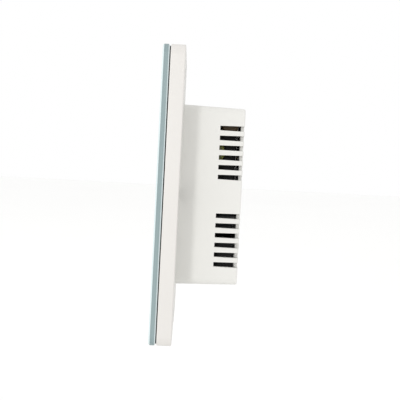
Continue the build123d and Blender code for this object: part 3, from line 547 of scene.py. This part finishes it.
def spring_tree():
    """A row of coil springs standing across the thickness."""
    tree, given, target = geometry_tree("spring_row", (
        ("Coil radius", "NodeSocketFloat"), ("Wire radius", "NodeSocketFloat"), ("Height", "NodeSocketFloat"),
        ("Turns", "NodeSocketFloat"), ("Count", "NodeSocketInt"), ("Start", "NodeSocketVector"),
        ("Step", "NodeSocketVector"), ("Material", "NodeSocketMaterial"),
    ))
    helix = add(tree, "GeometryNodeCurveSpiral", {"Resolution": 28}, {
        "Rotations": given["Turns"], "Start Radius": given["Coil radius"], "End Radius": given["Coil radius"],
        "Height": given["Height"],
    })
    section = add(tree, "GeometryNodeCurvePrimitiveCircle", {"Resolution": 8},
                  {"Radius": given["Wire radius"]})
    wire = add(tree, "GeometryNodeCurveToMesh", {"Fill Caps": True},
               {"Curve": helix.outputs[0], "Profile Curve": section.outputs[0]})
    laid = add(tree, "GeometryNodeTransform", {"Rotation": (-math.pi / 2, 0, 0)},
               {"Geometry": wire.outputs[0]})
    places = add(tree, "GeometryNodeMeshLine", {}, {
        "Count": given["Count"], "Start Location": given["Start"], "Offset": given["Step"],
    })
    springs = add(tree, "GeometryNodeInstanceOnPoints", {},
                  {"Points": places.outputs[0], "Instance": laid.outputs[0]})
    solid = add(tree, "GeometryNodeRealizeInstances", {}, {"Geometry": springs.outputs[0]})
    smooth = add(tree, "GeometryNodeSetShadeSmooth", {}, {"Geometry": solid.outputs[0]})
    painted = add(tree, "GeometryNodeSetMaterial", {},
                  {"Geometry": smooth.outputs[0], "Material": given["Material"]})
    tree.links.new(painted.outputs[0], target.inputs[0])
    return tree


wire_radius = 0.25 * MM
spring_turns = 4.0
touch_coils = grown("touch_coils", spring_tree(), {
    "Coil radius": key_radius - wire_radius,
    "Wire radius": wire_radius,
    "Height": springs_high.y - springs_low.y - 2 * wire_radius,
    "Turns": spring_turns,
    "Count": key_count,
    "Start": (key_places[0], springs_low.y + wire_radius, key_height),
    "Step": (key_pitch, 0.0, 0.0),
    "Material": spring_wire,
}, FRONT)
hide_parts("touch_springs")


def cuboid(tree, size, offset, made):
    """A box inside a tree, moved by its offset and given a material."""
    shape = add(tree, "GeometryNodeMeshCube", {"Size": size})
    moved = add(tree, "GeometryNodeTransform", {"Translation": offset}, {"Geometry": shape.outputs["Mesh"]})
    painted = add(tree, "GeometryNodeSetMaterial", {}, {"Geometry": moved.outputs[0], "Material": made})
    return painted.outputs[0]


def chip_part_tree():
    """Chip resistors and capacitors on given points, lying either way round by a fixed seed."""
    tree, given, target = geometry_tree("chip_parts", (
        ("Points", "NodeSocketGeometry"), ("Seed", "NodeSocketInt"), ("Scale", "NodeSocketFloat"),
        ("Body material", "NodeSocketMaterial"), ("End material", "NodeSocketMaterial"),
    ))
    length, height, width, end = 1.6 * MM, 0.45 * MM, 0.8 * MM, 0.3 * MM
    cap_height, cap_width = height * 1.06, width * 1.04
    parts = add(tree, "GeometryNodeJoinGeometry")
    middle = cuboid(tree, (length - 2 * end, height, width), (0, height / 2, 0), given["Body material"])
    tree.links.new(middle, parts.inputs[0])
    for side in (-1, 1):
        cap = cuboid(tree, (end, cap_height, cap_width), (side * (length - end) / 2, cap_height / 2, 0),
                     given["End material"])
        tree.links.new(cap, parts.inputs[0])
    places = add(tree, "GeometryNodeMeshToPoints", {}, {"Mesh": given["Points"]})
    quarter = add(tree, "FunctionNodeRandomValue", {"data_type": "INT"}, {"Seed": given["Seed"]})
    for socket in quarter.inputs:
        if socket.type == "INT" and socket.name in ("Min", "Max"):
            socket.default_value = 0 if socket.name == "Min" else 1
    turned = [socket for socket in quarter.outputs if socket.type == "INT"][0]
    angle = add(tree, "ShaderNodeMath", {"operation": "MULTIPLY", 1: math.pi / 2}, {0: turned})
    turn = add(tree, "ShaderNodeCombineXYZ", {}, {"Y": angle.outputs[0]})
    laid = add(tree, "GeometryNodeInstanceOnPoints", {}, {
        "Points": places.outputs[0], "Instance": parts.outputs[0], "Rotation": turn.outputs[0],
        "Scale": given["Scale"],
    })
    solid = add(tree, "GeometryNodeRealizeInstances", {}, {"Geometry": laid.outputs[0]})
    tree.links.new(solid.outputs[0], target.inputs[0])
    return tree


def solder_tree():
    """Blunt solder cones on given points."""
    tip_share = 0.4
    tree, given, target = geometry_tree("solder_joints", (
        ("Points", "NodeSocketGeometry"), ("Radius", "NodeSocketFloat"), ("Height", "NodeSocketFloat"),
        ("Material", "NodeSocketMaterial"),
    ))
    cone = add(tree, "GeometryNodeMeshCone", {"Vertices": 16, "Side Segments": 3}, {
        "Radius Bottom": given["Radius"], "Depth": given["Height"],
    })
    narrow = add(tree, "ShaderNodeMath", {"operation": "MULTIPLY", 1: tip_share}, {0: given["Radius"]})
    tree.links.new(narrow.outputs[0], cone.inputs["Radius Top"])
    stood = add(tree, "GeometryNodeTransform", {"Rotation": (math.pi / 2, 0, 0)},
                {"Geometry": cone.outputs["Mesh"]})
    places = add(tree, "GeometryNodeMeshToPoints", {}, {"Mesh": given["Points"]})
    joints = add(tree, "GeometryNodeInstanceOnPoints", {},
                 {"Points": places.outputs[0], "Instance": stood.outputs[0]})
    solid = add(tree, "GeometryNodeRealizeInstances", {}, {"Geometry": joints.outputs[0]})
    painted = add(tree, "GeometryNodeSetMaterial", {},
                  {"Geometry": solid.outputs[0], "Material": given["Material"]})
    tree.links.new(painted.outputs[0], target.inputs[0])
    return tree


def point_mesh(name, places):
    """A mesh of loose points."""
    mesh = bpy.data.meshes.new(name)
    mesh.from_pydata(places, [], [])
    return mesh


def middle_of(name):
    """The middle of a node's box."""
    low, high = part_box(name)
    return (low + high) / 2


def clear_of(places, *names, margin=1.0 * MM):
    """The places that lie beside every named node, seen from the front."""
    boxes = [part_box(name) for name in names]
    kept = []
    for x, z in places:
        inside = any(low.x - margin < x < high.x + margin and low.z - margin < z < high.z + margin
                     for low, high in boxes)
        if not inside:
            kept.append((x, z))
    return kept


def board_grid(low, high, columns, rows, inset):
    """Evenly spread places over a board, every second row shifted by half a step."""
    places = []
    for row in range(rows):
        for column in range(columns):
            shift = 0.75 if row % 2 else 0.25
            share = (column + shift) / columns
            places.append((low.x + inset + share * (high.x - low.x - 2 * inset),
                           low.z + inset + (row + 0.5) / rows * (high.z - low.z - 2 * inset)))
    return places


chip_tree = chip_part_tree()


def chip_parts(name, places, level, seed, body):
    """Small parts standing on a board's rear face."""
    points = point_mesh(name, [(x, level, z) for x, z in places])
    grown(name, chip_tree, {
        "Seed": seed, "Scale": 1.0, "Body material": alumina, "End material": tinned_copper,
    }, body, points)


GRID_COLUMNS = 9
GRID_ROWS = 8
GRID_INSET = 3.5 * MM
CORNER_START = 18 * MM
CHIP_SEED = 7
control_places = clear_of(
    board_grid(control_low, control_high, GRID_COLUMNS, GRID_ROWS, GRID_INSET),
    "microcontroller", "buzzer", "pin_header", "air_sensor", "board_socket",
)
# The board's corners are kept free for its screws.
control_places = [(x, z) for x, z in control_places if abs(x) < CORNER_START or abs(z) < CORNER_START]
chip_parts("control_chip_parts", control_places, control_high.y, CHIP_SEED, FRONT)


# Half the distances between a part's pins, across and up, in millimetres.
FOUR_PIN_PARTS = (
    ("relay_case", 8.5, 5.5),
    ("relay_case", 3.5, 5.5),
    ("transformer_winding", 5.0, 5.4),
    ("transformer_winding", 0.0, 5.4),
    ("bridge_rectifier", 2.6, 3.8),
)
TWO_PIN_PARTS = (
    ("film_capacitor", 5.0, 0.0),
    ("varistor", 0.0, 1.8),
    ("disc_capacitor", 0.0, 1.8),
    ("fuse", 2.5, 0.0),
)


def pin_places():
    """Where the pins of the parts on the power board come through it."""
    bar_pin_drop = 0.4 * MM
    places = []
    bars_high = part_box("terminal_bars")[1]
    for number in range(1, terminal_count + 1):
        places.append((middle_of(f"wire_cage_{number}").x, bars_high.z - bar_pin_drop))
    for name, across, up in FOUR_PIN_PARTS:
        centre = middle_of(name)
        for side in ((-1, 1) if across else (0,)):
            for rise in (-1, 1):
                places.append((centre.x + side * across * MM, centre.z + rise * up * MM))
    for name, across, up in TWO_PIN_PARTS:
        centre = middle_of(name)
        for side in (-1, 1):
            places.append((centre.x + side * across * MM, centre.z + side * up * MM))
    return places


joint_radius = 0.85 * MM
joint_height = 0.6 * MM
grown("solder_joints", solder_tree(), {
    "Radius": joint_radius, "Height": joint_height, "Material": tinned_copper,
}, WALL, point_mesh("joints", [(x, power_low.y, z) for x, z in pin_places()]))


# ---------------------------------------------------------------- moulded strips and bobbin
def two_part_piece(name, replaced, moulded, other, finishes, body):
    """A piece of black moulded parts and other parts, in place of a node."""
    points, faces = joined(moulded + other)
    count = sum(len(part_faces) for _, part_faces in moulded)
    indices = [0] * count + [1] * (len(faces) - count)
    piece = mesh_piece(name, points, faces, finishes, indices, body)
    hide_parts(replaced)


def header_strip():
    """Two rows of gold pins in a black strip."""
    low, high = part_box("pin_header")
    centre = middle_of("pin_header")
    pitch, side, thick, bite = 2.0 * MM, 0.5 * MM, 0.4 * MM, 0.1 * MM
    rear = low.y + thick
    strip = [upright(rectangle(centre.x, centre.z, high.x - low.x, high.z - low.z), low.y, rear)]
    pins = []
    for column in (-2, -1, 0, 1, 2):
        for row in (-0.5, 0.5):
            outline = rectangle(centre.x + column * pitch, centre.z + row * pitch, side, side)
            pins.append(upright(outline, rear - bite, high.y))
    two_part_piece("header_strip", "pin_header", strip, pins, (shaded_black_nylon, gold_flash), FRONT)


def wound_bobbin():
    """Black bobbin with its winding under yellow tape, rounded at the corners."""
    low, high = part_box("transformer_winding")
    core_low, core_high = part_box("transformer_core")
    centre = middle_of("transformer_winding")
    side, round_off, edge, gap = 8.6 * MM, 1.2 * MM, 0.4 * MM, 0.1 * MM
    flange_width, flange_thick = 10.4 * MM, 0.8 * MM
    plates = [
        upright(rectangle(centre.x, centre.z, high.x - low.x, high.z - low.z), low.y, core_low.y - gap),
        upright(rectangle(centre.x, centre.z, flange_width, high.z - low.z),
                core_high.y + gap, core_high.y + gap + flange_thick),
    ]
    body = rounded_outline(side, side, round_off, (centre.x, centre.z))
    end = rounded_outline(side - 2 * edge, side - 2 * edge, round_off - edge, (centre.x, centre.z))
    winding = [lofted([(body, low.y + gap), (body, high.y - edge), (end, high.y)])]
    two_part_piece("wound_bobbin", "transformer_winding", plates, winding, (shaded_black_nylon, winding_tape), WALL)


header_strip()
wound_bobbin()


# ---------------------------------------------------------------- moulded numerals by the terminals
def terminal_numerals():
    """Raised numerals on the back wall, one over each screwdriver hole, read from behind."""
    height, rise = 2.6 * MM, 3.1 * MM
    bite, relief = 0.05 * MM, 0.3 * MM
    outlines = []
    for number in range(1, terminal_count + 1):
        centre = middle_of(f"terminal_screw_{number}")
        figures, width = digit_outlines(str(number), 0, 0, height)
        base = centre.z + rise
        for outline in figures:
            outlines.append([(centre.x + width / 2 - x, base + z) for x, z in reversed(outline)])
    rear = housing_high.y
    flat_shape("terminal_numerals", outlines, rear - bite, rear + relief, white_abs, WALL)


terminal_numerals()


# ---------------------------------------------------------------- camera, light and floor
CAMERA_PLACE = Vector((361.9, 2.29, 12.8)) * MM
CAMERA_YAW = math.radians(0.676)
CAMERA_PITCH = math.radians(-2.41)
CAMERA_ROLL = math.radians(2.94)
CAMERA_LENS = 101.8
SENSOR_WIDTH = 36.0
CLIP_NEAR = 0.01
CLIP_FAR = 20.0
FLOOR_HALF = 3.0
FLOOR_DROP = 45 * MM
SIDE_BEARING = math.radians(15.6)
SIDE_REACH = 1.2
SIDE_HEIGHT = 0.12
# Each soft box has a place and a size in metres, and a power in watts.
SOFT_BOXES = {
    "side_soft_box": (
        (SIDE_REACH * math.cos(SIDE_BEARING), -SIDE_REACH * math.sin(SIDE_BEARING), SIDE_HEIGHT), 0.12, 3.0),
    "top_soft_box": ((0.1, -0.1, 1.3), 0.9, 1.0),
    "front_soft_box": ((0.45, -1.1, 0.15), 0.4, 1.2),
}


def camera():
    """A long lens on the thermostat's right side, turned a little about its own axis."""
    data = bpy.data.cameras.new("camera")
    data.lens = CAMERA_LENS
    data.sensor_width = SENSOR_WIDTH
    data.clip_start = CLIP_NEAR
    data.clip_end = CLIP_FAR
    item = bpy.data.objects.new("camera", data)
    bpy.context.scene.collection.objects.link(item)
    forward = Vector((-math.cos(CAMERA_PITCH) * math.cos(CAMERA_YAW),
                      math.cos(CAMERA_PITCH) * math.sin(CAMERA_YAW), math.sin(CAMERA_PITCH)))
    turn = forward.to_track_quat("-Z", "Y").to_matrix().to_4x4()
    roll = Matrix.Rotation(CAMERA_ROLL, 4, "Z")
    item.matrix_world = Matrix.Translation(CAMERA_PLACE) @ turn @ roll
    bpy.context.scene.camera = item


def area_light(name, place, target, size, power):
    """A square soft box that faces its target."""
    data = bpy.data.lights.new(name, "AREA")
    data.shape = "SQUARE"
    data.size = size
    data.energy = power
    item = bpy.data.objects.new(name, data)
    bpy.context.scene.collection.objects.link(item)
    aim = (Vector(target) - Vector(place)).to_track_quat("-Z", "Y").to_matrix().to_4x4()
    item.matrix_world = Matrix.Translation(Vector(place)) @ aim


def studio():
    """A pale floor under an even white sky, with soft boxes beside the camera, above and in front."""
    level = cad_low.z - FLOOR_DROP
    floor_finish = finish("pale_floor", "FBFBFA", "FDFDFC", 300, (0.8, 0.9), 5, 0.001)
    corners = [(-FLOOR_HALF, -FLOOR_HALF, level), (FLOOR_HALF, -FLOOR_HALF, level),
               (FLOOR_HALF, FLOOR_HALF, level), (-FLOOR_HALF, FLOOR_HALF, level)]
    mesh_piece("floor", corners, [(0, 1, 2, 3)], (floor_finish,))
    world = bpy.data.worlds.new("white_sky")
    world.use_nodes = True
    sky = world.node_tree.nodes["Background"]
    sky.inputs["Color"].default_value = (1, 1, 1, 1)
    sky.inputs["Strength"].default_value = 1.0
    bpy.context.scene.world = world
    middle = (cad_low + cad_high) / 2
    for name, (place, size, power) in SOFT_BOXES.items():
        area_light(name, place, middle, size, power)


camera()
studio()
bpy.context.scene.view_settings.view_transform = "Standard"
